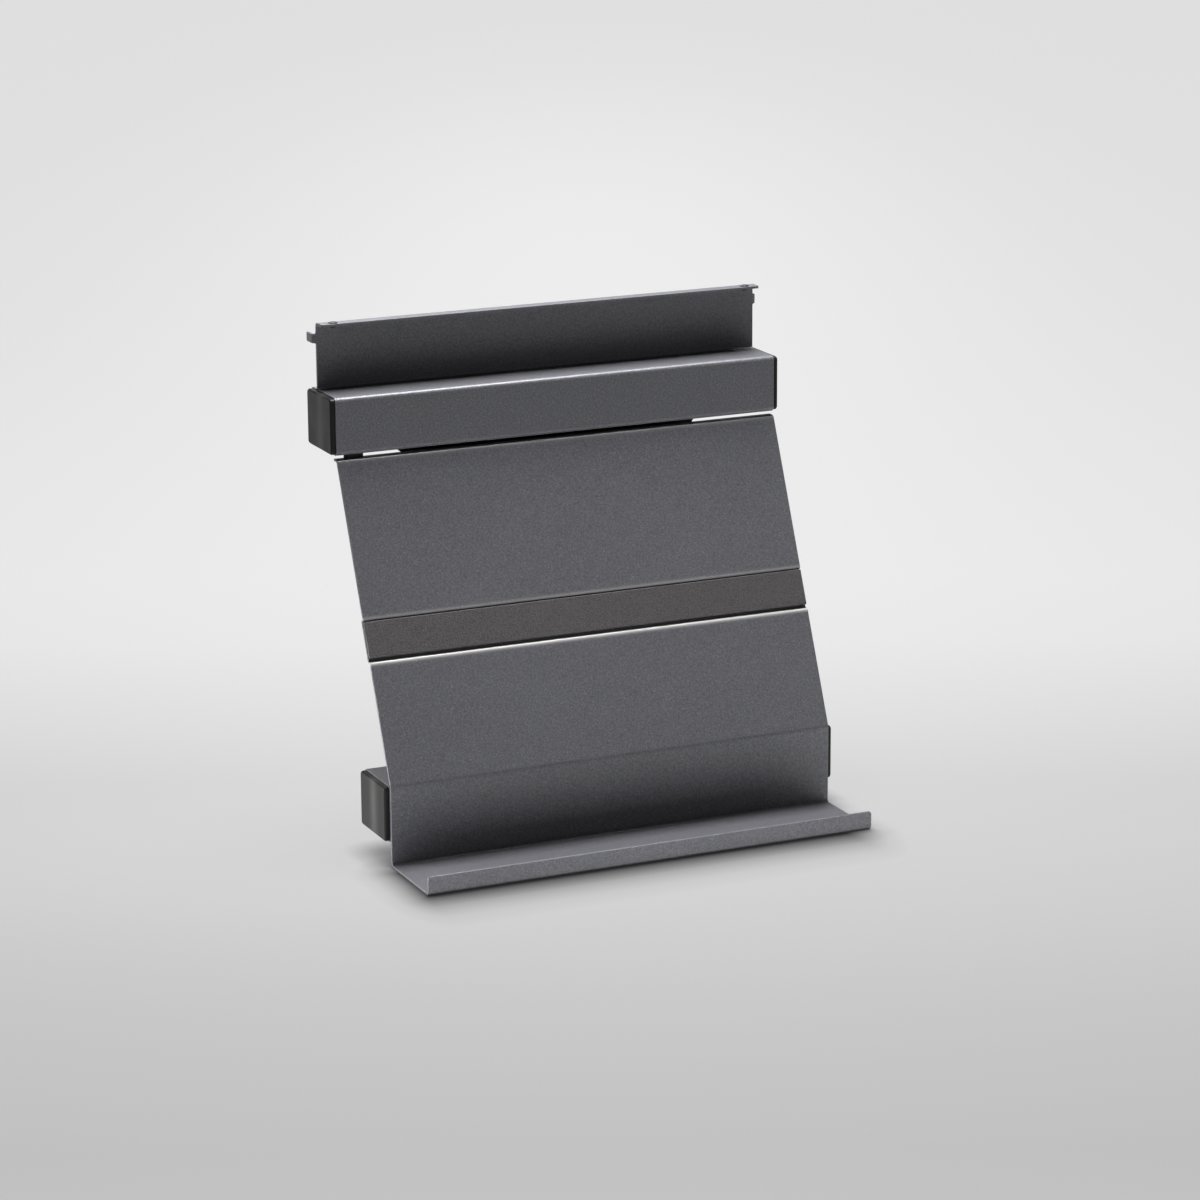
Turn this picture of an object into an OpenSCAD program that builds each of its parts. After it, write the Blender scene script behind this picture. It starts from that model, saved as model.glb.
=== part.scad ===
/* [Hanger] */
// Width of every folded sheet, end to end
sheet_w = 300; // [200:5:400]
// Thickness of the sheet steel
sheet_t = 1.5; // [1:0.1:2.5]
// Inside radius of the ordinary folds
bend_r = 1.5; // [1:0.1:2.5]
// Height of the hanger wall, from the shelf to the top of the flange
hanger_h = 42.1; // [32:0.1:60]
// Depth of the top flange, measured from the back of the wall
flange_d = 11.4; // [10:0.1:18]
// Depth of the shelf in front of the hanger wall
shelf_d = 31; // [25:0.1:36]
// Radius of the free corners of the flange
flange_corner_r = 1.8; // [1:0.1:3]

/* [Box section] */
// Outside height of the two box sections
box_h = 36.3; // [30:0.1:50]
// Outside depth of the two box sections
box_d = 42.2; // [38:0.1:60]
// Width of the butt seam where a folded section closes
seam_gap = 0.4; // [0.3:0.1:0.8]

/* [Side ears] */
// Height of the ear at each end of the hanger wall
ear_h = 5.8; // [4:0.1:10]
// Reach of the ear behind the back of the wall
ear_d = 9.2; // [5:0.1:12]
// Distance from the top of the flange down to the ear
ear_drop = 7.2; // [6:0.1:14]
// Inside radius of the fold at the root of the ear
ear_bend_r = 1; // [0.8:0.1:2]
// Radius of the rounded free corners of the ear
ear_corner_r = 0.8; // [0.4:0.1:1.5]
// Radius of the fillets where the ear grows out of the wall
ear_root_r = 1.2; // [0.5:0.1:1.4]

/* [Flange buttons] */
// Diameter of the button heads on the flange
button_d = 6.2; // [5:0.1:7]
// Height of the button heads
button_h = 1; // [0.6:0.1:2]
// Distance from the end of the flange to the button centre
button_end = 8.8; // [6:0.1:20]
// Diameter of the button stem in its hole
button_stem_d = 3.4; // [2.4:0.1:4]

/* [End caps] */
// Thickness of the end cap outside the sheet
cap_t = 3.4; // [2:0.05:4]
// Inset of the cap outline from the section outline
cap_inset = 0.7; // [0.4:0.1:1.5]
// Corner radius of the cap outline
cap_corner_r = 2.4; // [1.5:0.1:4]
// Width of the bevel around the outer face of the cap
cap_bevel = 0.9; // [0.4:0.1:1.2]
// Length of the plug inside the section
plug_len = 12; // [8:0.5:20]
// Wall thickness of the plug and its ribs
plug_wall = 1.4; // [1:0.1:2]
// Clearance between the plug and the inside of the section
plug_gap = 0.2; // [0.1:0.05:0.4]

/* [Back plate] */
// Clear gap between the upper section and the top of the plate
plate_gap = 2.3; // [2:0.1:6]
// Depth of the return flange along the top of the plate
return_d = 5.5; // [5:0.1:9]
// Lean of the sloping panel from the vertical, in degrees
panel_lean = 23.15; // [15:0.05:30]
// Height of the sloping panel, measured straight down
panel_h = 187.4; // [160:0.1:230]
// Height of the upright part from the underside of the tray to the fold
upright_h = 51.8; // [48:0.1:80]
// Depth of the tray from the upright to the front of the lip
tray_d = 59.3; // [40:0.1:80]
// Height of the tray lip from the underside of the tray
lip_h = 12.1; // [8:0.1:20]
// Radius of the rounded ends of the lip
lip_corner_r = 2; // [1:0.1:4]
// Distance along the slope from the top edge to the channel
channel_start = 101.1; // [70:0.1:110]
// Width of the channel along the slope
channel_w = 25; // [23.5:0.1:30]
// Depth of the channel
channel_d = 2.4; // [2.3:0.1:4]
// Inside radius of the tight channel folds
channel_r = 0.4; // [0.3:0.05:0.45]

/* [Grip strip] */
// Width of the strip along the slope
strip_w = 22.8; // [18:0.1:23]
// Thickness of the strip
strip_t = 2.5; // [2:0.1:4]
// Gap between the top wall of the channel and the strip
strip_gap = 0.3; // [0.2:0.05:0.6]
// Inset of the strip from the ends of the plate
strip_inset = 0.2; // [0.1:0.1:1]
// Thickness of the adhesive film behind the strip
tape_t = 0.2; // [0.1:0.05:0.4]
// Inset of the film from the edges of the strip
tape_inset = 1.5; // [1:0.5:3]

/* [Link bracket] */
// Width of the bracket where it meets the section
bracket_w = 213; // [160:1:220]
// Width of the bracket web below its flared top
bracket_web_w = 195; // [150:1:200]
// Height of the flare at the top of the web
flare_h = 8; // [3:0.1:8]
// Distance from the bracket web to the back of the section
bracket_rear = 18.2; // [18.2:0.1:26]
// Depth of the bracket leaf under the section
leaf_d = 17; // [15.5:0.1:18]
// Distance down from the section to where the bracket meets the plate
bracket_drop = 38; // [32:0.5:50]
// Length of the bracket foot along the back of the plate
foot_len = 26; // [22:0.5:30]

/* [Fasteners] */
// Thread diameter of the screws and studs
thread_d = 4; // [3:0.5:4]
// Clearance hole diameter for the thread
hole_d = 4.5; // [4.4:0.1:5]
// Radial clearance between a nut and its thread
thread_gap = 0.1; // [0.05:0.05:0.2]
// Diameter of the screw heads
head_d = 7.6; // [7:0.1:8]
// Height of the screw heads
head_h = 2.4; // [2:0.1:3]
// Length of the screws below the head
screw_len = 8; // [7.5:0.5:9]
// Diameter of the washers
washer_d = 9; // [8:0.1:9.5]
// Thickness of the washers
washer_t = 0.8; // [0.5:0.1:1]
// Width of the nuts across the flats
nut_flat = 7; // [6.5:0.1:7]
// Height of the nuts
nut_h = 3.2; // [2.5:0.1:3.5]
// Length of the welded studs from the plate
stud_len = 8; // [7.5:0.1:9]
// Diameter of the flange at the foot of a stud
stud_foot_d = 5.6; // [5:0.1:6]
// Thickness of the flange at the foot of a stud
stud_foot_h = 0.7; // [0.5:0.1:1]
// Clearance between the stud flange and the hole around it
stud_foot_gap = 0.4; // [0.3:0.1:0.6]
// Diameter of the press nut body
press_nut_d = 8; // [7:0.1:8.5]
// Diameter of the press nut shank in the sheet
press_shank_d = 5.6; // [5.4:0.1:6]
// Distance between neighbouring bracket fasteners
bracket_pitch = 75; // [60:1:78]
// Distance from each end of the lower section to its stud
box_stud_end = 35; // [25:1:60]

/* [Gap pad] */
// Width of the small pad in the gap
pad_w = 12; // [8:0.1:16]
// Depth of the small pad
pad_d = 3; // [2:0.1:3.2]
// Distance from the left end of the plate to the pad centre
pad_end = 12.4; // [8:0.1:20]

/* [Hidden] */
$fn = 64;

fold_r = bend_r + sheet_t;
wall_flat = hanger_h - fold_r - bend_r;
shelf_z = -wall_flat / 2 - bend_r;
flange_z = shelf_z + hanger_h;
front_y = -sheet_t - shelf_d;
section_z = shelf_z - box_h;
plate_z = section_z - plate_gap;
fold_z = plate_z - panel_h;
tray_z = fold_z - upright_h;
upright_y = front_y - panel_h * tan(panel_lean);
lower_y = upright_y + sheet_t;
slope_len = panel_h / cos(panel_lean);
turn = 90 - panel_lean;
channel_fold_r = channel_r + sheet_t;
turn_set = fold_r * tan(turn / 2);
upright_set = fold_r * tan(panel_lean / 2);
overlap = 0.01;
fold_facet = 7.5;

// Bracket: the web runs from the section down to the back of the sloping panel
bracket_set = box_d - bracket_rear;
foot_y = front_y + sheet_t / cos(panel_lean) - bracket_drop * tan(panel_lean);
foot_z = plate_z - bracket_drop;
web_run = front_y + bracket_set - foot_y;
web_rise = section_z - foot_z;
web_lean = atan(web_run / web_rise);
web_len = web_rise / cos(web_lean);
leaf_set = fold_r * tan((90 - web_lean) / 2);
foot_set = fold_r * tan((web_lean - panel_lean) / 2);
leaf_y = front_y + bracket_set + (leaf_d + leaf_set) / 2;
leaf_z = section_z - sheet_t;
foot_down = bracket_drop / cos(panel_lean) + (foot_set + foot_len) / 2;
stud_hole_d = stud_foot_d + 2 * stud_foot_gap;
box_stud_z = fold_z - box_h / 2;

function along(heading) = [cos(heading), sin(heading)];
function leftward(heading) = [-sin(heading), cos(heading)];

// Points along the right-hand face of a folded sheet, each with its heading.
// Every step is [flat length, fold angle, inside radius]; a fold to the left is positive.
function face_run(steps, start, heading, i = 0) =
  i == len(steps) ? [] :
  let (
    angle = steps[i][1],
    arm = angle > 0 ? steps[i][2] + sheet_t : -steps[i][2],
    bend_start = start + steps[i][0] * along(heading),
    centre = bend_start + arm * leftward(heading),
    parts = max(1, ceil(abs(angle) / fold_facet)),
    finish = heading + angle
  )
  angle == 0 ? [[bend_start, heading]] :
  concat(
    [for (j = [0 : parts])
      let (now = heading + angle * j / parts) [centre - arm * leftward(now), now]],
    face_run(steps, centre - arm * leftward(finish), finish, i + 1)
  );

// Side profile of a folded sheet that starts at a point and lies to the left of travel
module folded(steps, start, heading) {
  run = concat([[start, heading]], face_run(steps, start, heading));
  last = len(run) - 1;
  polygon(concat(
    [for (p = run) p[0]],
    [for (i = [0 : last]) run[last - i][0] + sheet_t * leftward(run[last - i][1])]
  ));
}

// Carry a side profile across the full width
module across(width) {
  rotate([90, 0, 90]) linear_extrude(height = width, center = true) children();
}

// Place parts on the sloping panel: Y runs back through the plate and Z up the slope
module on_slope() {
  translate([0, front_y, plate_z]) rotate([-panel_lean, 0, 0]) children();
}

// Positions of the three fasteners in the bracket
module bracket_places() {
  for (i = [-1 : 1]) translate([i * bracket_pitch, 0, 0]) children();
}

// Positions of the two studs behind the upright part
module box_places() {
  for (side = [-1, 1]) translate([side * (sheet_w / 2 - box_stud_end), 0, 0]) children();
}

module hanger_side() {
  folded([
    [flange_d - fold_r, -90, bend_r],
    [wall_flat, -90, bend_r],
    [shelf_d - bend_r - fold_r, 90, bend_r],
    [box_h - 2 * fold_r, 90, bend_r],
    [box_d - 2 * fold_r, 90, bend_r],
    [box_h - 2 * fold_r, 90, bend_r],
    [box_d - shelf_d - sheet_t - fold_r - seam_gap, 0, 0]
  ], [-flange_d, flange_z - sheet_t], 0);
}

module ear_plan() {
  folded([
    [fold_r, 90, ear_bend_r],
    [ear_d - ear_bend_r, 0, 0]
  ], [sheet_w / 2 - fold_r, -sheet_t], 0);
}

module ear_blank() {
  translate([0, -sheet_t - overlap, flange_z - ear_drop - ear_h]) {
    tip = ear_d + sheet_t + overlap;
    translate([sheet_w / 2 - fold_r, 0, 0]) cube([2 * fold_r, tip - ear_corner_r, ear_h]);
    translate([sheet_w / 2 - fold_r, 0, ear_corner_r])
      cube([2 * fold_r, tip, ear_h - 2 * ear_corner_r]);
    for (z = [ear_corner_r, ear_h - ear_corner_r])
      translate([sheet_w / 2 - fold_r, tip - ear_corner_r, z])
        rotate([0, 90, 0]) cylinder(r = ear_corner_r, h = 2 * fold_r);
  }
}

// Fillet in the plane of the wall, rising from the edge of the ear
module ear_root() {
  translate([sheet_w / 2 - overlap, 0, 0]) rotate([90, 0, 0])
    linear_extrude(height = sheet_t) difference() {
      square(ear_root_r + overlap);
      translate([ear_root_r + overlap, ear_root_r + overlap]) circle(ear_root_r);
    }
}

module ear() {
  top = flange_z - ear_drop;
  intersection() {
    translate([0, 0, top - ear_h]) linear_extrude(height = ear_h) ear_plan();
    ear_blank();
  }
  translate([0, 0, top - overlap]) ear_root();
  translate([0, 0, top - ear_h + overlap]) mirror([0, 0, 1]) ear_root();
}

// Waste outside a rounded corner, drawn in plan or elevation at the origin
module corner_waste(r) {
  difference() {
    square(2 * r);
    circle(r);
  }
}

// Waste outside the rounded corner at the right end of the flange
module flange_corner() {
  translate([sheet_w / 2 - flange_corner_r, -flange_d + flange_corner_r, flange_z - 2 * sheet_t])
    mirror([0, 1, 0]) linear_extrude(height = 3 * sheet_t) corner_waste(flange_corner_r);
}

module hanger_profile() {
  color([0.33, 0.34, 0.35]) difference() {
    union() {
      across(sheet_w) hanger_side();
      ear();
      mirror([1, 0, 0]) ear();
    }
    button_places() translate([0, 0, -sheet_t - button_h])
      cylinder(d = button_stem_d, h = sheet_t + 2 * button_h);
    bracket_places() translate([0, leaf_y, section_z - sheet_t])
      cylinder(d = press_shank_d, h = 3 * sheet_t);
    flange_corner();
    mirror([1, 0, 0]) flange_corner();
  }
}

// Centres of the buttons, on the top face of the flange
module button_places() {
  for (side = [-1, 1])
    translate([side * (sheet_w / 2 - button_end), -(flange_d + fold_r) / 2, flange_z]) children();
}

module flange_buttons() {
  dome_r = (button_d * button_d / 4 + button_h * button_h) / (2 * button_h);
  color([0.08, 0.08, 0.08]) button_places() {
    intersection() {
      cylinder(d = button_d, h = button_h);
      translate([0, 0, button_h - dome_r]) sphere(dome_r);
    }
    translate([0, 0, -sheet_t - button_h]) cylinder(d = button_stem_d, h = sheet_t + button_h);
    translate([0, 0, -sheet_t - button_h]) cylinder(d = button_stem_d + 1, h = button_h);
  }
}

// Corner posts of a rounded rectangle standing on the end of a section
module cap_posts(inset, r, height) {
  for (y = [inset + r, box_d - inset - r])
    for (z = [inset + r, box_h - inset - r])
      translate([0, y, z]) rotate([0, 90, 0]) cylinder(r = r, h = height, $fn = 32);
}

module round_block(inset, r, height) {
  translate([0, inset + r, inset]) cube([height, box_d - 2 * (inset + r), box_h - 2 * inset]);
  translate([0, inset, inset + r]) cube([height, box_d - 2 * inset, box_h - 2 * (inset + r)]);
  cap_posts(inset, r, height);
}

// End cap for the right end of a section, drawn from the section's lower front corner
module end_cap() {
  plug_inset = sheet_t + plug_gap;
  rib_y = (box_d - plug_wall) / 2;
  hull() {
    cap_posts(cap_inset, cap_corner_r, cap_t - cap_bevel);
    cap_posts(cap_inset + cap_bevel, cap_corner_r - cap_bevel, cap_t);
  }
  translate([-plug_len, 0, 0]) {
    difference() {
      round_block(plug_inset, bend_r, plug_len + overlap);
      translate([-overlap, 0, 0])
        round_block(plug_inset + plug_wall, bend_r / 2, plug_len + overlap);
    }
    for (y = [rib_y - box_d / 5, rib_y + box_d / 5])
      translate([0, y, plug_inset])
        cube([plug_len + overlap, plug_wall, box_h - 2 * plug_inset]);
  }
}

module cap_at(y, z) {
  translate([sheet_w / 2, y, z]) end_cap();
}

module upper_right_end_cap() {
  color([0.1, 0.1, 0.1]) cap_at(front_y, section_z);
}

module upper_left_end_cap() {
  color([0.1, 0.1, 0.1]) mirror([1, 0, 0]) cap_at(front_y, section_z);
}

module lower_right_end_cap() {
  color([0.1, 0.1, 0.1]) cap_at(lower_y, fold_z - box_h);
}

module lower_left_end_cap() {
  color([0.1, 0.1, 0.1]) mirror([1, 0, 0]) cap_at(lower_y, fold_z - box_h);
}

module press_nuts() {
  color([0.7, 0.7, 0.72]) bracket_places() translate([0, leaf_y, section_z]) difference() {
    union() {
      cylinder(d = press_shank_d, h = sheet_t);
      translate([0, 0, sheet_t]) cylinder(d = press_nut_d, h = nut_h);
    }
    translate([0, 0, -overlap])
      cylinder(r = thread_d / 2 + thread_gap, h = sheet_t + nut_h + 2 * overlap);
  }
}

module bracket_side() {
  folded([
    [leaf_d - leaf_set, 90 - web_lean, bend_r],
    [web_len - leaf_set - foot_set, web_lean - panel_lean, bend_r],
    [foot_len - foot_set, 0, 0]
  ], [front_y + bracket_set + leaf_d, section_z], 180);
}

// Outline of the bracket seen from the front, with a flared top to the web
module bracket_outline() {
  half = bracket_w / 2;
  web_half = bracket_web_w / 2;
  polygon([
    [-half, section_z + sheet_t],
    [-half, section_z - sheet_t / 2],
    [-web_half, section_z - flare_h],
    [-web_half, foot_z - foot_len],
    [web_half, foot_z - foot_len],
    [web_half, section_z - flare_h],
    [half, section_z - sheet_t / 2],
    [half, section_z + sheet_t]
  ]);
}

module link_bracket() {
  color([0.2, 0.2, 0.21]) difference() {
    intersection() {
      across(bracket_w) bracket_side();
      rotate([90, 0, 0])
        linear_extrude(height = 4 * box_d, center = true) bracket_outline();
    }
    bracket_places() translate([0, leaf_y, leaf_z - sheet_t])
      cylinder(d = hole_d, h = 3 * sheet_t);
    foot_places() translate([0, 0, -sheet_t]) cylinder(d = stud_hole_d, h = 3 * sheet_t);
  }
}

// Stud positions on the back of the sloping panel, with Z straight out of it
module foot_places() {
  on_slope() bracket_places() translate([0, sheet_t, -foot_down]) rotate([-90, 0, 0]) children();
}

// Stud positions on the back of the upright part, with Z straight out of it
module upright_places() {
  box_places() translate([0, lower_y, box_stud_z]) rotate([-90, 0, 0]) children();
}

module bracket_screws() {
  head_z = leaf_z - washer_t - head_h;
  color([0.6, 0.6, 0.62]) bracket_places() translate([0, leaf_y, head_z]) difference() {
    union() {
      cylinder(d = head_d, h = head_h);
      translate([0, 0, head_h - overlap]) cylinder(d = thread_d, h = screw_len + overlap);
    }
    translate([0, 0, -overlap]) cylinder(d = head_d / 3, h = head_h / 2, $fn = 6);
  }
}

module washer() {
  difference() {
    cylinder(d = washer_d, h = washer_t);
    translate([0, 0, -overlap]) cylinder(d = hole_d, h = washer_t + 2 * overlap);
  }
}

module nut() {
  difference() {
    cylinder(d = nut_flat / cos(30), h = nut_h, $fn = 6);
    translate([0, 0, -overlap])
      cylinder(r = thread_d / 2 + thread_gap, h = nut_h + 2 * overlap);
  }
}

module stud() {
  cylinder(d = stud_foot_d, h = stud_foot_h);
  cylinder(d = thread_d, h = stud_len);
}

module bracket_screw_washers() {
  color([0.7, 0.7, 0.72]) bracket_places() translate([0, leaf_y, leaf_z - washer_t]) washer();
}

module bracket_studs() {
  color([0.6, 0.6, 0.62]) foot_places() stud();
}

module bracket_nut_washers() {
  color([0.7, 0.7, 0.72]) foot_places() translate([0, 0, sheet_t]) washer();
}

module bracket_nuts() {
  color([0.7, 0.7, 0.72]) foot_places() translate([0, 0, sheet_t + washer_t]) nut();
}

module box_studs() {
  color([0.6, 0.6, 0.62]) upright_places() stud();
}

module box_nut_washers() {
  color([0.7, 0.7, 0.72]) upright_places() translate([0, 0, sheet_t]) washer();
}

module box_nuts() {
  color([0.7, 0.7, 0.72]) upright_places() translate([0, 0, sheet_t + washer_t]) nut();
}

module gap_pad() {
  color([0.06, 0.06, 0.06])
    translate([-sheet_w / 2 + pad_end - pad_w / 2, front_y + return_d - pad_d, plate_z])
      cube([pad_w, pad_d, plate_gap]);
}

module plate_side() {
  wall = channel_d - channel_fold_r - channel_r;
  lower_len = slope_len - channel_start - channel_w;
  folded([
    [return_d - turn_set, turn, bend_r],
    [channel_start - turn_set - channel_fold_r, 90, channel_r],
    [wall, -90, channel_r],
    [channel_w - 2 * channel_r, -90, channel_r],
    [wall, 90, channel_r],
    [lower_len - channel_fold_r - upright_set, panel_lean, bend_r],
    [upright_h - sheet_t - upright_set - bend_r, -90, bend_r],
    [tray_d - sheet_t - 2 * bend_r, -90, bend_r],
    [lip_h - sheet_t - bend_r, 0, 0]
  ], [front_y + return_d, plate_z], 180);
}

// Waste outside the rounded corner at the right end of the lip
module lip_corner() {
  translate([sheet_w / 2 - lip_corner_r, 0, tray_z + lip_h - lip_corner_r]) rotate([90, 0, 0])
    linear_extrude(height = 4 * sheet_t, center = true) corner_waste(lip_corner_r);
}

module back_plate() {
  color([0.36, 0.37, 0.38]) difference() {
    across(sheet_w) plate_side();
    translate([0, upright_y - tray_d + sheet_t / 2, 0]) {
      lip_corner();
      mirror([1, 0, 0]) lip_corner();
    }
  }
}

module grip_strip() {
  width = sheet_w - 2 * strip_inset;
  color([0.25, 0.23, 0.23]) on_slope()
    translate([-width / 2, channel_d - tape_t - strip_t, -channel_start - strip_gap - strip_w])
      cube([width, strip_t, strip_w]);
}

module strip_tape() {
  width = sheet_w - 2 * strip_inset - 2 * tape_inset;
  tape_w = strip_w - 2 * tape_inset;
  color([0.85, 0.85, 0.8]) on_slope()
    translate([-width / 2, channel_d - tape_t, -channel_start - strip_gap - tape_inset - tape_w])
      cube([width, tape_t, tape_w]);
}

module box_side() {
  half_wall = (box_h - seam_gap) / 2 - fold_r;
  folded([
    [half_wall, 90, bend_r],
    [box_d - 2 * fold_r, 90, bend_r],
    [box_h - 2 * fold_r, 90, bend_r],
    [box_d - 2 * fold_r, 90, bend_r],
    [half_wall, 0, 0]
  ], [lower_y + box_d, fold_z - (box_h - seam_gap) / 2], 90);
}

module lower_box() {
  color([0.33, 0.34, 0.35]) difference() {
    across(sheet_w) box_side();
    upright_places() translate([0, 0, -sheet_t]) cylinder(d = stud_hole_d, h = 3 * sheet_t);
  }
}

hanger_profile();
flange_buttons();
upper_left_end_cap();
upper_right_end_cap();
press_nuts();
link_bracket();
bracket_screws();
bracket_screw_washers();
bracket_studs();
bracket_nuts();
bracket_nut_washers();
gap_pad();
back_plate();
grip_strip();
strip_tape();
lower_box();
box_studs();
box_nuts();
box_nut_washers();
lower_left_end_cap();
lower_right_end_cap();
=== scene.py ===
import math

import bmesh
import bpy
from mathutils import Matrix, Vector


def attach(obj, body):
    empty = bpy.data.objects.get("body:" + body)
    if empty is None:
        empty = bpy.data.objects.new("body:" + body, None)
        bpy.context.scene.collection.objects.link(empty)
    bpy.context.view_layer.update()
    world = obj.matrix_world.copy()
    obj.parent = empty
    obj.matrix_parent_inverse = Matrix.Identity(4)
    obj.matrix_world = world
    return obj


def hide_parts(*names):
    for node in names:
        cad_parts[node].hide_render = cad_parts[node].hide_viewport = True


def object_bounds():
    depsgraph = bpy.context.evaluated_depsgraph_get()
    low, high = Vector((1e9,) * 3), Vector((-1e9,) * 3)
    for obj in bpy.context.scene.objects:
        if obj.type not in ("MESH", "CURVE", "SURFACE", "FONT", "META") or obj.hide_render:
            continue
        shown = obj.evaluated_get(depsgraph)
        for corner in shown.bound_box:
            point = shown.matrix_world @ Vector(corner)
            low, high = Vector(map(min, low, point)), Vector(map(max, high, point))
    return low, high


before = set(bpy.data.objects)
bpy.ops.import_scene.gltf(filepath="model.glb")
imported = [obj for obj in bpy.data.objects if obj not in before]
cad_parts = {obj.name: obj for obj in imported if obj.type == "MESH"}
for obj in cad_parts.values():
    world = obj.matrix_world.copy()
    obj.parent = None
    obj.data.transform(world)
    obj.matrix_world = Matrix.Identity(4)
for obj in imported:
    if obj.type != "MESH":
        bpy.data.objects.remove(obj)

cad_low, cad_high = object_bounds()


# ---- Hanger profile ------------------------------------------------------------------
# One folded sheet of 1.5 mm steel: flange, wall, shelf and the upper box section, with an
# ear turned back at each end of the wall. Powder coated in a satin titanium grey.

class Tap:
    """A socket in a material. Arithmetic on taps adds the Math nodes it needs."""

    def __init__(self, tree, socket):
        self.tree, self.socket = tree, socket

    def math(self, operation, *terms):
        """One Math node, with the taps and numbers that go into it."""
        return add_node(self.tree, "ShaderNodeMath", {"operation": operation},
                        dict(enumerate(terms)))

    def __add__(self, other):
        return self.math("ADD", self, other)

    def __radd__(self, other):
        return self.math("ADD", other, self)

    def __sub__(self, other):
        return self.math("SUBTRACT", self, other)

    def __rsub__(self, other):
        return self.math("SUBTRACT", other, self)

    def __mul__(self, other):
        return self.math("MULTIPLY", self, other)

    def __rmul__(self, other):
        return self.math("MULTIPLY", other, self)

    def __truediv__(self, other):
        return self.math("DIVIDE", self, other)

    def __rtruediv__(self, other):
        return self.math("DIVIDE", other, self)

    def __pow__(self, other):
        return self.math("POWER", self, other)

    def __rpow__(self, other):
        return self.math("POWER", other, self)


def add_node(tree, kind, settings, sockets, out=0):
    """Adds one node: settings first, ramp stops among them, then its sockets' values or links."""
    made = tree.nodes.new(kind)
    for name, setting in settings.items():
        if name == "stops":
            stops = made.color_ramp.elements
            while len(stops) < len(setting):
                stops.new(0.5)
            for stop, (place, level) in zip(stops, setting):
                stop.position, stop.color = place, grey(level)
        else:
            setattr(made, name, setting)
    for key, value in sockets.items():
        if isinstance(value, Tap):
            tree.links.new(value.socket, made.inputs[key])
        else:
            made.inputs[key].default_value = value
    return Tap(tree, made.outputs[out]) if len(made.outputs) else None


def grey(level):
    """A neutral grey, from black at 0 to white at 1."""
    return (level, level, level, 1.0)


def tint(shade, factor):
    """A darker or paler tone of a shade."""
    return tuple(min(1.0, part * factor) for part in shade) + (1.0,)


def mix_colour(tree, share, first, second):
    """Colours are blended by a Mix node, in place of a Math node that would turn them grey."""
    return add_node(tree, "ShaderNodeMix", {"data_type": "RGBA"},
                    {0: share, 6: first, 7: second}, out=2)


def ramp(tree, value, *stops):
    """Greys over a value: each stop is a place on it and the grey there."""
    return add_node(tree, "ShaderNodeValToRGB", {"stops": stops}, {"Fac": value})


def noise(tree, place, scale, detail, roughness=0.5):
    """An uneven texture in space, between 0 and 1."""
    return add_node(tree, "ShaderNodeTexNoise", {}, {
        "Vector": place, "Scale": scale, "Detail": detail, "Roughness": roughness})


def along(tree, place, direction):
    """How far a place lies along a direction."""
    return add_node(tree, "ShaderNodeVectorMath", {"operation": "DOT_PRODUCT"},
                    {0: place, 1: direction}, out="Value")


def bell(offset, *others):
    """One in the middle, falling off smoothly as the offsets grow."""
    squares = offset * offset
    for other in others:
        squares = squares + other * other
    return squares.math("EXPONENT", squares * -1.0)


def new_finish(name):
    """A fresh material with an empty node tree, and a place on the piece's surface."""
    finish = bpy.data.materials.new(name)
    finish.use_nodes = True
    tree = finish.node_tree
    tree.nodes.clear()
    return finish, tree, add_node(tree, "ShaderNodeTexCoord", {}, {}, out="Object")


def close_finish(tree, shader):
    """Joins the finished shader to the material's output."""
    add_node(tree, "ShaderNodeOutputMaterial", {}, {"Surface": shader})


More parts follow.
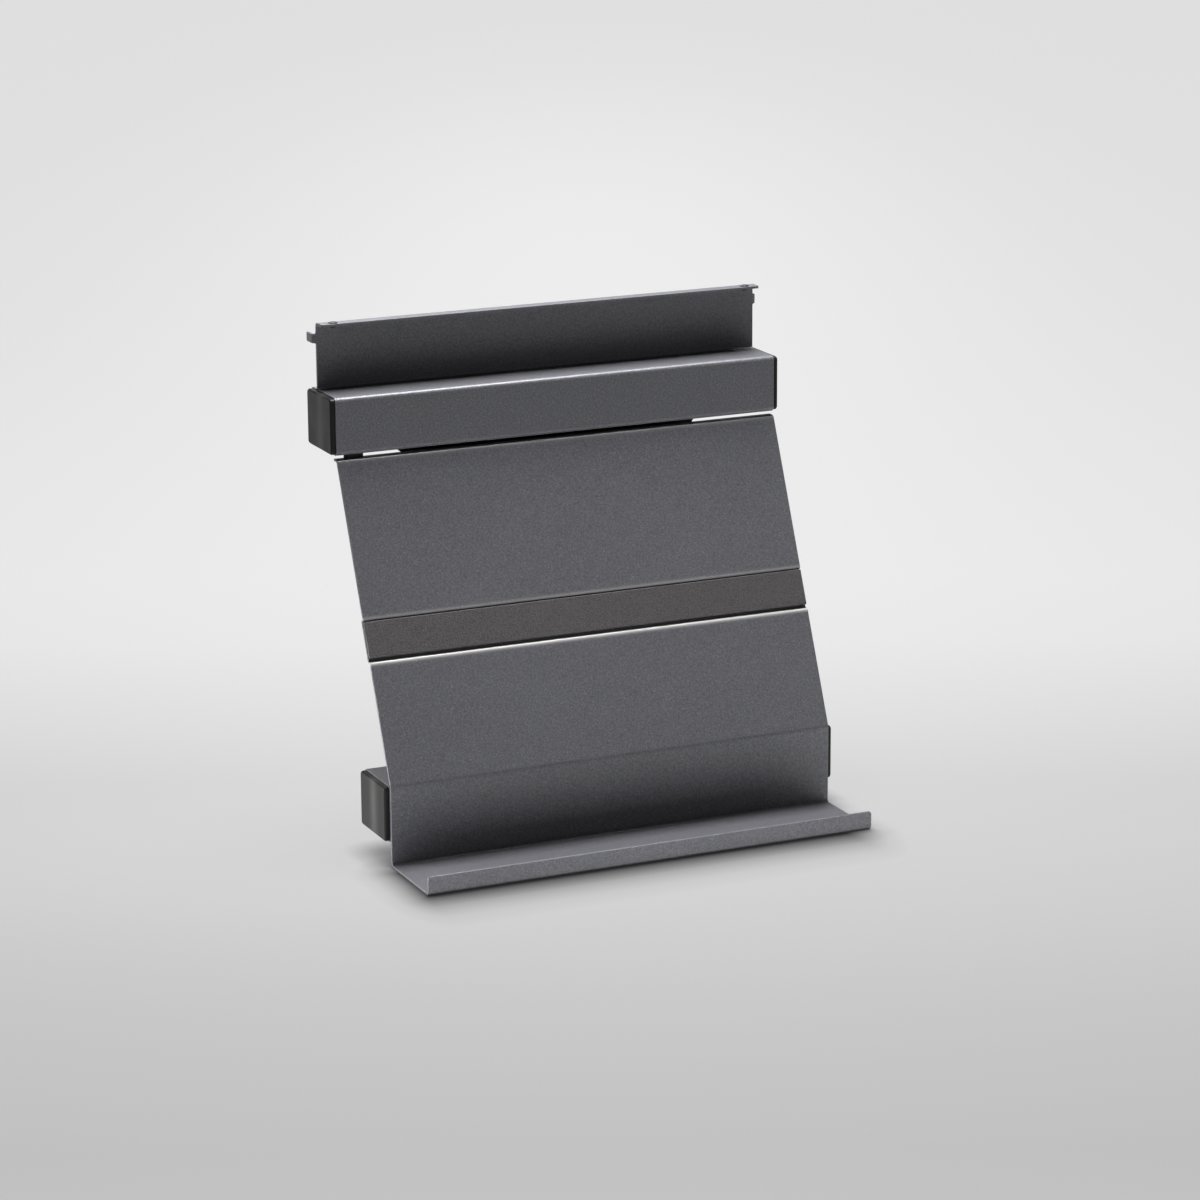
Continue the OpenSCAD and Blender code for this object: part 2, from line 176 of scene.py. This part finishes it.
def powder_coat(name, shade, drift, crevice_shade=0.0, edge_highlight=0.1, up=(0.0, 0.0, 1.0), fold_shading=()):
    """Satin powder coat: fine orange peel, pale flecks and a faint cloudiness. It is paler along
    cut edges, a painted highlight, and darker in crevices, painted shade. Each fold line is
    painted
    across the sheet: its place along `up`, its half width, and its strength, which is negative
    for painted shade and positive for a painted highlight."""
    finish, tree, spot = new_finish(name)
    place = add_node(tree, "ShaderNodeVectorMath", {"operation": "ADD"},
                     {0: spot, 1: (drift, drift * 0.7, drift * 1.3)})
    peel = noise(tree, place, 800.0, 3.0, 0.7)
    grit = noise(tree, place, 1500.0, 2.0, 0.6)
    cloud = noise(tree, place, 18.0, 3.0)
    tone = mix_colour(tree, (peel - 0.5) * 1.8 + (cloud - 0.5) * 0.18 + 0.5,
                      tint(shade, 0.55), tint(shade, 1.4))
    flecks = ramp(tree, grit, (0.58, 0.0), (0.74, 1.0))
    tone = mix_colour(tree, flecks * 0.6, tone, tint(shade, 2.6))
    # Painted highlight: the coat is made paler along the cut edges.
    rounded = add_node(tree, "ShaderNodeBevel", {"samples": 6}, {"Radius": 0.0007})
    plain = add_node(tree, "ShaderNodeNewGeometry", {}, {}, out="Normal")
    edge_highlight_mask = ramp(tree, 1.0 - along(tree, rounded, plain), (0.01, 0.0), (0.12, 1.0))
    tone = mix_colour(tree, edge_highlight_mask * edge_highlight, tone, tint(shade, 4.5))
    # Painted highlights along folds as pale lines, and painted shade as dark ones.
    for middle, half, strength in fold_shading:
        line = bell((along(tree, spot, up) - middle) / half)
        light_or_shade = (0.47, 0.46, 0.45, 1.0) if strength > 0 else (0.02, 0.02, 0.022, 1.0)
        tone = mix_colour(tree, line * abs(strength), tone, light_or_shade)
    # Painted shade: darker in crevices, by how open each point is.
    if crevice_shade:
        openness = add_node(tree, "ShaderNodeAmbientOcclusion", {"samples": 8},
                            {"Distance": crevice_shade}, out="AO")
        tone = mix_colour(tree, openness ** 1.6, grey(0.004), tone)
    bump = add_node(tree, "ShaderNodeBump", {}, {
        "Height": peel * 0.6 + grit * 0.4, "Strength": 0.5, "Distance": 0.00016})
    close_finish(tree, add_node(tree, "ShaderNodeBsdfPrincipled", {}, {
        "Base Color": tone, "Roughness": (peel - 0.5) * 0.3 + 0.41, "Metallic": 0.2,
        "Normal": bump, "Specular IOR Level": 0.42}))
    return finish


def into_scene(name, data):
    """Sets a mesh, a lamp or a camera into the scene."""
    thing = bpy.data.objects.new(name, data)
    bpy.context.scene.collection.objects.link(thing)
    return thing


def as_piece(name, shape, node, finish):
    """Makes a worked shape a piece with one finish, in place of its CAD node."""
    mesh = bpy.data.meshes.new(name)
    shape.to_mesh(mesh)
    shape.free()
    mesh.materials.clear()
    mesh.materials.append(finish)
    piece = into_scene(name, mesh)
    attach(piece, "root")
    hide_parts(node)
    return piece


def dressed(node, finish, edge=0.0003, rounds=2, corner=35.0):
    """A finer piece that stands for a CAD node: the same form, its cut edges eased and smooth."""
    shape = bmesh.new()
    shape.from_mesh(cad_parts[node].data)
    bmesh.ops.remove_doubles(shape, verts=shape.verts, dist=1e-6)
    bmesh.ops.dissolve_limit(shape, angle_limit=math.radians(0.6),
                             verts=shape.verts, edges=shape.edges)
    if edge:
        sharp = [e for e in shape.edges
                 if len(e.link_faces) == 2 and e.calc_face_angle() > math.radians(corner)]
        bmesh.ops.bevel(shape, geom=sharp, offset=edge, offset_type="OFFSET",
                        segments=rounds, profile=0.5, affect="EDGES", clamp_overlap=True)
    for face in shape.faces:
        face.smooth = True
    piece = as_piece("dressed_" + node, shape, node, finish)
    shading = piece.modifiers.new("even shading", "WEIGHTED_NORMAL")
    shading.keep_sharp = False
    shading.weight = 100


coat_grey = (0.0965, 0.0967, 0.1075)
hanger_coat = powder_coat("hanger powder coat", coat_grey, 0.0)
dressed("hanger_profile", hanger_coat)


# ---- Flange buttons ------------------------------------------------------------------
# Two low buttons moulded in black plastic. Each is pressed into a hole near an end of the
# flange and holds by its foot under the sheet.

def moulded_plastic(name, shade, roughness, grain, shine=0.2, sink_sheen=0.0):
    """Moulded plastic with a fine spark-eroded grain. Over a rib, where the face has sunk a
    little, a pale streak is painted as a sheen.
    """
    finish, tree, spot = new_finish(name)
    pits = noise(tree, spot, grain, 3.0, 0.6)
    haze = noise(tree, spot, 60.0, 2.0)
    tone = mix_colour(tree, (pits - 0.5) * 1.2 + (haze - 0.5) * 0.6 + 0.5,
                      tint(shade, 0.75), tint(shade, 1.25))
    # Painted sheen: a pale streak down the middle of the face.
    if sink_sheen:
        within = add_node(tree, "ShaderNodeTexCoord", {}, {}, out="Generated")
        depth = add_node(tree, "ShaderNodeSeparateXYZ", {}, {"Vector": within}, out="Y")
        sheen_mark = bell((depth - 0.46) / 0.13)
        tone = mix_colour(tree, sheen_mark * (haze * 0.8 + 0.2) * sink_sheen, tone, tint(shade, 5.0))
    bump = add_node(tree, "ShaderNodeBump", {},
                    {"Height": pits, "Strength": 0.3, "Distance": 0.0001})
    close_finish(tree, add_node(tree, "ShaderNodeBsdfPrincipled", {}, {
        "Base Color": tone, "Roughness": (haze - 0.5) * 0.2 + roughness,
        "Specular IOR Level": shine, "Normal": bump}))
    return finish


button_plastic = moulded_plastic("button plastic", (0.012, 0.012, 0.013), 0.42, 1800.0)
dressed("flange_buttons", button_plastic, edge=0.0)


# ---- End caps ------------------------------------------------------------------------
# Four black moulded plugs, pushed into the open ends of the two box sections. Only the
# plate of each shows: a flat face with bevelled edges, standing proud of the sheet.

# The pale streak down each cap's face is a painted sheen over the rib behind it.
cap_plastic = moulded_plastic("cap plastic", (0.0115, 0.0112, 0.0110), 0.42, 1500.0,
                              shine=0.13, sink_sheen=1.0)
for corner in ("upper_left", "upper_right", "lower_left", "lower_right"):
    dressed(corner + "_end_cap", cap_plastic, edge=0.00025, corner=40.0)


# ---- Press nuts ----------------------------------------------------------------------
# Three round steel nuts with a zinc plate. They are pressed into the bottom of the upper
# section, and the bracket's screws go up into them.

def plated_steel(name, shade, roughness):
    """Zinc plate: a bright grey that drifts a little in tone and gloss."""
    finish, tree, spot = new_finish(name)
    bloom = noise(tree, spot, 420.0, 4.0, 0.6)
    bump = add_node(tree, "ShaderNodeBump", {},
                    {"Height": bloom, "Strength": 0.2, "Distance": 0.00005})
    close_finish(tree, add_node(tree, "ShaderNodeBsdfPrincipled", {}, {
        "Base Color": mix_colour(tree, bloom, tint(shade, 0.8), tint(shade, 1.15)),
        "Metallic": 1.0, "Roughness": (bloom - 0.5) * 0.3 + roughness, "Normal": bump}))
    return finish


zinc = plated_steel("zinc plate", (0.62, 0.63, 0.65), 0.34)
dressed("press_nuts", zinc, edge=0.0)


# ---- Link bracket --------------------------------------------------------------------
# A narrower folded strip of 1.5 mm steel, powder coated; its coat is nearly black, painted
# shade for the shadow it lies in. It is screwed up under the upper section and carries the
# plate behind the gap.

bracket_shade_coat = powder_coat("bracket coat in painted shade", (0.022, 0.022, 0.024), 0.31)
dressed("link_bracket", bracket_shade_coat)


# ---- Screws and welded studs ---------------------------------------------------------
# M4 threads, 0.7 mm pitch, zinc plated: low cylinder heads with a hexagon socket under the
# section, and flanged studs welded to the back of the plate and of its upright part.

def separate_solids(node):
    """The solids of a CAD node from left to right, each as a list of points."""
    shape = bmesh.new()
    shape.from_mesh(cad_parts[node].data)
    bmesh.ops.remove_doubles(shape, verts=shape.verts, dist=1e-6)
    left, found = set(shape.verts), []
    while left:
        queue, points = [left.pop()], []
        while queue:
            vert = queue.pop()
            points.append(vert.co.copy())
            for edge in vert.link_edges:
                other = edge.other_vert(vert)
                if other in left:
                    left.remove(other)
                    queue.append(other)
        found.append(points)
    shape.free()
    return sorted(found, key=lambda points: min(p.x for p in points))


def hexagon(turn):
    """Radius of a hexagon with a unit inscribed circle, at an angle."""
    return 1.0 / math.cos((turn + math.pi / 6) % (math.pi / 3) - math.pi / 6)


def turned_piece(node, axis, profile, thread_from, length):
    """Turns a profile round each solid's own axis and cuts a thread from one height to the tip.
    A profile's rows are a height, a radius, and whether that one is of the hexagon socket."""
    segments, steps_a_turn = 36, 10
    pitch, crest, root = 0.0007, 0.00199, 0.00165
    crest_flat, flank = 1.6, 4.0
    tip, tip_bevel = 0.0014, 1.2
    turns = [math.tau * k / segments for k in range(segments)]
    shape = bmesh.new()
    facing = Vector(axis).normalized()
    for points in separate_solids(node):
        lowest = min(p.dot(facing) for p in points)
        foot = [p for p in points if p.dot(facing) < lowest + 1e-6]
        base = sum(foot, Vector()) / len(foot)
        stand = Matrix.Translation(base) @ facing.to_track_quat("Z", "Y").to_matrix().to_4x4()
        rows = [[(height, hexagon(turn) * size if socket else size) for turn in turns]
                for height, size, socket in profile]
        steps = round((length - thread_from) / pitch * steps_a_turn)
        for step in range(steps + 1):
            height = thread_from + (length - thread_from) * step / steps
            row = []
            for k in range(segments):
                phase = (height / pitch - k / segments) % 1.0
                rise = min(1.0, max(0.0, crest_flat - abs(phase - 0.5) * flank))
                size = root + (crest - root) * rise
                row.append((height, min(size, tip + (length - height) * tip_bevel)))
            rows.append(row)
        rings = [[shape.verts.new(stand @ Vector((size * math.cos(turn), size * math.sin(turn),
                                                  height)))
                  for turn, (height, size) in zip(turns, row)] for row in rows]
        for lower, upper in zip(rings, rings[1:]):
            for k in range(segments):
                after = (k + 1) % segments
                shape.faces.new((lower[k], lower[after], upper[after], upper[k]))
        shape.faces.new(list(reversed(rings[0])))
        shape.faces.new(rings[-1])
    for face in shape.faces:
        face.smooth = True
    for edge in shape.edges:
        edge.smooth = edge.calc_face_angle(0.0) < math.radians(38.0)
    as_piece("turned_" + node, shape, node, zinc)


screw_head = [(0.0012, 0.00108, True), (0.00012, 0.00110, True), (0.0, 0.00122, True),
              (0.0, 0.0034, False), (0.00035, 0.00375, False), (0.0006, 0.0038, False),
              (0.0023, 0.0038, False), (0.0024, 0.0037, False), (0.0024, 0.0018, False)]
stud_foot = [(0.0, 0.0027, False), (0.0001, 0.0028, False), (0.00055, 0.0028, False),
             (0.0007, 0.0026, False), (0.0007, 0.0018, False)]
panel_lean = math.radians(23.15)
out_of_panel = (0.0, math.cos(panel_lean), -math.sin(panel_lean))
turned_piece("bracket_screws", (0.0, 0.0, 1.0), screw_head, thread_from=0.0025, length=0.0104)
turned_piece("bracket_studs", out_of_panel, stud_foot, thread_from=0.0008, length=0.0080)
turned_piece("box_studs", (0.0, 1.0, 0.0), stud_foot, thread_from=0.0008, length=0.0080)


# ---- Washers and nuts ----------------------------------------------------------------
# Plain punched washers and hexagon nuts for the same M4 thread, of zinc-plated steel: they
# hold the plate to the bracket and the lower section to the upright part.

for node in ("bracket_screw_washers", "bracket_nuts", "bracket_nut_washers", "box_nuts",
             "box_nut_washers"):
    dressed(node, zinc, edge=0.00012)


# ---- Gap pad -------------------------------------------------------------------------
# A small block of moulded black rubber. It is wedged between the upper section and the
# plate, near the left end.

pad_rubber = moulded_plastic("pad rubber", (0.012, 0.012, 0.012), 0.7, 1300.0)
dressed("gap_pad", pad_rubber)


# ---- Back plate ----------------------------------------------------------------------
# One folded sheet of the same steel: sloping panel with a shallow channel across it, the
# upright part, the tray and its lip. Coated with the hanger.

panel_top = -0.066934
up_panel = (0.0, math.sin(panel_lean), math.cos(panel_lean))
# Painted lines along the plate's folds: highlights on the return flange and on both folds of the
# channel, and shade on the fold into the upright part.
plate_fold_shading = [(panel_top - down, half, strength) for down, half, strength in (
    (0.0010, 0.0013, 0.17),         # the return flange along the top
    (0.0999, 0.0012, 0.34),         # into the channel
    (0.1274, 0.0012, 0.95),         # out of the channel
    (0.2040, 0.0012, -0.22))]       # into the upright part
# Its coat is also darker in crevices, painted shade, and paler along cut edges, a painted
# highlight.
plate_coat = powder_coat("plate powder coat", coat_grey, 0.53, crevice_shade=0.0021, edge_highlight=0.7,
                         up=up_panel, fold_shading=plate_fold_shading)
dressed("back_plate", plate_coat)


# ---- Grip strip ----------------------------------------------------------------------
# A soft strip of leathercloth with a fine grain. It lies in the plate's channel, and a thin
# adhesive film glues it down.

def leather_grain(name, shade):
    """Fine grained leathercloth: small creased cells, drawn out along the strip."""
    finish, tree, spot = new_finish(name)
    drawn = add_node(tree, "ShaderNodeMapping", {}, {"Vector": spot, "Scale": (1.0, 1.6, 1.6)})
    cells = add_node(tree, "ShaderNodeTexVoronoi", {"feature": "DISTANCE_TO_EDGE"},
                     {"Vector": drawn, "Scale": 700.0, "Randomness": 1.0})
    creases = noise(tree, drawn, 900.0, 4.0, 0.6)
    relief = ramp(tree, cells * 1.2, (0.0, 0.0), (0.35, 1.0))
    tone = mix_colour(tree, relief * 0.5 + (creases - 0.5) * 1.2 + 0.2,
                      tint(shade, 0.4), tint(shade, 1.65))
    bump = add_node(tree, "ShaderNodeBump", {}, {
        "Height": relief * 0.6 + creases * 0.4, "Strength": 0.7, "Distance": 0.00025})
    close_finish(tree, add_node(tree, "ShaderNodeBsdfPrincipled", {}, {
        "Base Color": tone, "Roughness": (creases - 0.5) * 0.2 + 0.58, "Normal": bump}))
    return finish


strip_skin = leather_grain("strip leather grain", (0.055, 0.0502, 0.0515))
dressed("grip_strip", strip_skin, edge=0.0005, rounds=3)

film = moulded_plastic("adhesive film", (0.55, 0.54, 0.48), 0.4, 400.0)
dressed("strip_tape", film, edge=0.0)


# ---- Lower box section ---------------------------------------------------------------
# The same sheet folded into a closed box with a seam at the back, coated with the hanger and
# bolted behind the upright part, which it stands off from the wall.

box_coat = powder_coat("lower box powder coat", coat_grey, 0.87)
dressed("lower_box", box_coat)


# ---- Floor and backdrop --------------------------------------------------------------
# Not part of the object: a pale paper floor without end, which has its own fade towards the
# back and a painted pool of shade round the tray's foot. The camera sees it as it is
# written. Gloss mirrors a brighter patch just before the object and a dark far front.

def mix_shader(tree, share, first, second):
    """Two shaders in one."""
    return add_node(tree, "ShaderNodeMixShader", {}, {0: share, 1: first, 2: second})


def ray_kinds(tree):
    """Three switches: is this a ray from the camera, off a gloss, or through something clear?"""
    return [add_node(tree, "ShaderNodeLightPath", {}, {}, out="Is " + kind + " Ray")
            for kind in ("Camera", "Glossy", "Transmission")]


floor_shape = bmesh.new()
bmesh.ops.create_circle(floor_shape, cap_ends=True, radius=30.0, segments=64,
                        matrix=Matrix.Translation((0.0, 0.0, cad_low.z)))
floor_mesh = bpy.data.meshes.new("floor")
floor_shape.to_mesh(floor_mesh)
floor_shape.free()
floor = into_scene("floor", floor_mesh)
paper, tree, spot = new_finish("floor paper")
seen, mirrored, through = ray_kinds(tree)


def along_floor(direction, centre, reach):
    """How far a floor point lies along a direction from a centre, as a share of the reach."""
    offset = add_node(tree, "ShaderNodeVectorMath", {"operation": "SUBTRACT"},
                      {0: spot, 1: centre})
    return along(tree, offset, tuple(part / reach for part in direction))


away, rightward = (0.41, 0.912, 0.0), (0.912, -0.41, 0.0)
front_end, whole_run, far_grey = 1.6, 2.6, 0.783
depth = (along_floor(away, (0.0, 0.0, 0.0), 1.0) + front_end) / whole_run
fade = ramp(tree, depth, (0.00, 0.70), (0.30, 0.550), (0.38, 0.505), (0.46, 0.535),
            (0.525, 0.580), (0.57, 0.600), (0.62, 0.610), (0.68, 0.680), (0.75, 0.760),
            (0.82, far_grey))
glow_behind = bell(along_floor(away, tuple(part * 1.9 for part in away), 1.5),
                   along_floor(rightward, (0.03, 0.0, 0.0), 0.46))
lit = mix_colour(tree, glow_behind, fade, grey(0.89))


def beyond(distance, rate):
    """How far past a line, never less than nothing, times a rate."""
    return distance.math("MAXIMUM", distance * rate, 0.0)


foot_left, foot_right, foot_front, foot_back = -0.150, 0.132, -0.1719, -0.125
pool_reach = 0.06
sideways, ahead = (add_node(tree, "ShaderNodeSeparateXYZ", {}, {"Vector": spot}, out=axis)
                   for axis in "XY")
off_ends = beyond(foot_left - sideways, 2.0) + beyond(sideways - foot_right, 1.8)
off_sides = beyond(foot_front - ahead, 1.0) + beyond(ahead - foot_back, 2.0)
from_foot = (off_ends * off_ends + off_sides * off_sides) ** 0.5
pool = ramp(tree, from_foot / pool_reach, (0.0, 0.04), (0.03, 0.10), (0.083, 0.20),
            (0.167, 0.34), (0.25, 0.457), (0.333, 0.571), (0.5, 0.755), (0.667, 0.898),
            (1.0, 1.0))
lit = mix_colour(tree, pool + mirrored, grey(0.0), lit)

far_front = ramp(tree, depth, (0.30, 1.0), (0.38, 0.0))
lit = mix_colour(tree, far_front * mirrored, lit, grey(0.05))
just_before = bell(along_floor((1.0, 0.0, 0.0), (0.05, 0.0, 0.0), 0.45),
                   along_floor((0.0, 1.0, 0.0), (0.0, -0.35, 0.0), 0.30))
lit = mix_colour(tree, just_before * mirrored, lit, grey(1.3))
# Painted shade as well: darker wherever the floor lies close under the object.
open_sky = add_node(tree, "ShaderNodeAmbientOcclusion", {"samples": 12},
                    {"Distance": 0.022, "Normal": (-0.45, -0.35, 0.82)}, out="AO")
lit = mix_colour(tree, open_sky ** 1.8, grey(0.02), lit)

# Other rays meet a diffuse floor, and a patch just before the object glows, lighting its lower
# faces.
bounce_and_glow = mix_shader(tree, just_before * 0.3,
                    add_node(tree, "ShaderNodeBsdfDiffuse", {}, {"Color": grey(0.92)}),
                    add_node(tree, "ShaderNodeEmission", {}, {"Strength": 6.0}))
shown = mix_shader(tree, 0.06,
                   add_node(tree, "ShaderNodeEmission", {}, {"Color": lit}),
                   add_node(tree, "ShaderNodeBsdfDiffuse", {}, {"Color": grey(0.45)}))
close_finish(tree, mix_shader(tree, seen + mirrored + through, bounce_and_glow, shown))
floor_mesh.materials.append(paper)


# ---- Light ---------------------------------------------------------------------------
# A large soft box overhead gives the folds their bright lines. A faint one in front, one
# behind and a small card low on the left fill the faces that it misses, and so does a dim
# even surround, which the camera and gloss see as the pale backdrop.

def soft_box(name, place, aim, size, power, spread=180.0):
    """A rectangular area lamp that faces a point."""
    lamp = bpy.data.lights.new(name, "AREA")
    lamp.spread = math.radians(spread)
    lamp.shape, lamp.size, lamp.size_y, lamp.energy = "RECTANGLE", size[0], size[1], power
    holder = into_scene(name, lamp)
    holder.location = place
    holder.rotation_euler = (Vector(aim) - Vector(place)).to_track_quat("-Z", "Y").to_euler()


soft_box("overhead soft box", (0.12, 0.12, 0.95), (0.12, 0.12, -0.3), (0.8, 0.5), 40.0)
soft_box("front soft box", (0.42, -1.05, 0.36), (0.0, -0.08, -0.17), (0.35, 0.45), 0.42)
soft_box("rear soft box", (0.0, 0.90, 0.75), (0.0, -0.05, -0.15), (0.8, 0.35), 7.0)
soft_box("low left card", (-0.50, 0.06, -0.19), (-0.16, -0.09, -0.25), (0.20, 0.10), 0.30, 50.0)

surround = bpy.data.worlds.new("surround")
surround.use_nodes = True
sky = surround.node_tree
sky.nodes.clear()
seen, mirrored, through = ray_kinds(sky)
facing = add_node(sky, "ShaderNodeTexCoord", {}, {}, out="Generated")
band = ramp(sky, along(sky, facing, (0.0, 0.0, 1.0)), (0.02, 1.0), (0.18, 0.12))
backdrop = ramp(sky, along(sky, facing, away) * 0.5 + 0.5, (0.45, 0.25), (0.75, far_grey))
backdrop = mix_colour(sky, mirrored, grey(far_grey), backdrop)
dim = add_node(sky, "ShaderNodeBackground", {}, {"Color": grey(1.0), "Strength": 0.05})
pale = add_node(sky, "ShaderNodeBackground", {},
                {"Color": backdrop, "Strength": 1.0 - (1.0 - band) * mirrored})
add_node(sky, "ShaderNodeOutputWorld", {},
         {"Surface": mix_shader(sky, seen + mirrored + through, dim, pale)})
bpy.context.scene.world = surround


# ---- Camera --------------------------------------------------------------------------
# A long lens, about two and a half metres off, where the photograph was taken from: to the
# left of the object and a little above it, with the photograph's slight roll.

aim = Vector((0.01319, -0.0625, -0.15923))
distance = 2.5584
swing, rise, roll = (math.radians(a) for a in (-24.199, 14.894, -0.372))
back = Vector((math.sin(swing) * math.cos(rise), -math.cos(swing) * math.cos(rise),
               math.sin(rise)))
right = Vector((math.cos(swing), math.sin(swing), 0.0))
turned = Matrix((right, back.cross(right), back)).transposed() @ Matrix.Rotation(roll, 3, "Z")
lens = bpy.data.cameras.new("photo camera")
lens.lens, lens.sensor_width, lens.sensor_fit = 121.788, 36.0, "HORIZONTAL"
lens.clip_start, lens.clip_end = 0.05, 30.0
camera = into_scene("photo camera", lens)
camera.matrix_world = Matrix.Translation(aim + back * distance) @ turned.to_4x4()
bpy.context.scene.camera = camera
bpy.context.scene.view_settings.view_transform = "Standard"
